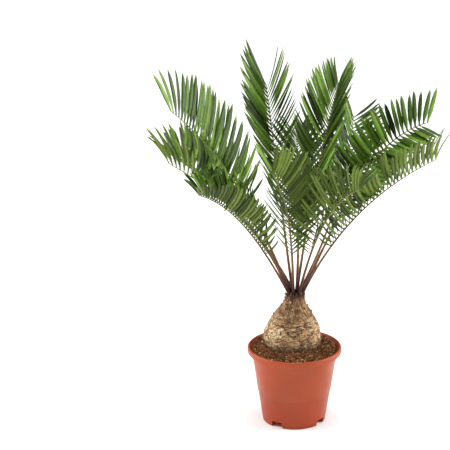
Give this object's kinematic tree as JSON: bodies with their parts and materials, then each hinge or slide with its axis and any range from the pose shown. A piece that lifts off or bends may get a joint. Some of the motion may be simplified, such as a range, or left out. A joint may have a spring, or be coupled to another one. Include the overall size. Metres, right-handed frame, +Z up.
{
  "type": "potted coontie palm",
  "caption": "Small potted coontie cycad: round-bulbed scaly caudex in a flared nursery pot of soil, under an arching crown of stiff feather fronds.",
  "frame": {"origin": "centre of the pot's flat underside", "axes": "+Z up; the pictured view looks along +Y with +X to the right"},
  "size_m": [0.5448, 0.5813, 0.6953],
  "materials": {
    "pot": "satin moulded terracotta-coloured plastic",
    "soil": "loose dark peat with fibres",
    "bark": "dry scaly leaf scars with dark cracks",
    "leaf": "leathery, glossy above and dull olive beneath"
  },
  "bodies": {
    "root": {"pot": "pot", "soil": "soil", "caudex": "bark", "frond_low_left": "leaf", "frond_far_left": "leaf", "frond_upper_left": "leaf", "frond_back_left": "leaf", "frond_top_left": "leaf", "frond_front": "leaf", "frond_back": "leaf", "frond_top_right": "leaf", "frond_mid_right": "leaf", "frond_upper_right": "leaf", "frond_low_right": "leaf", "frond_front_right": "leaf"}
  },
  "joints": []
}
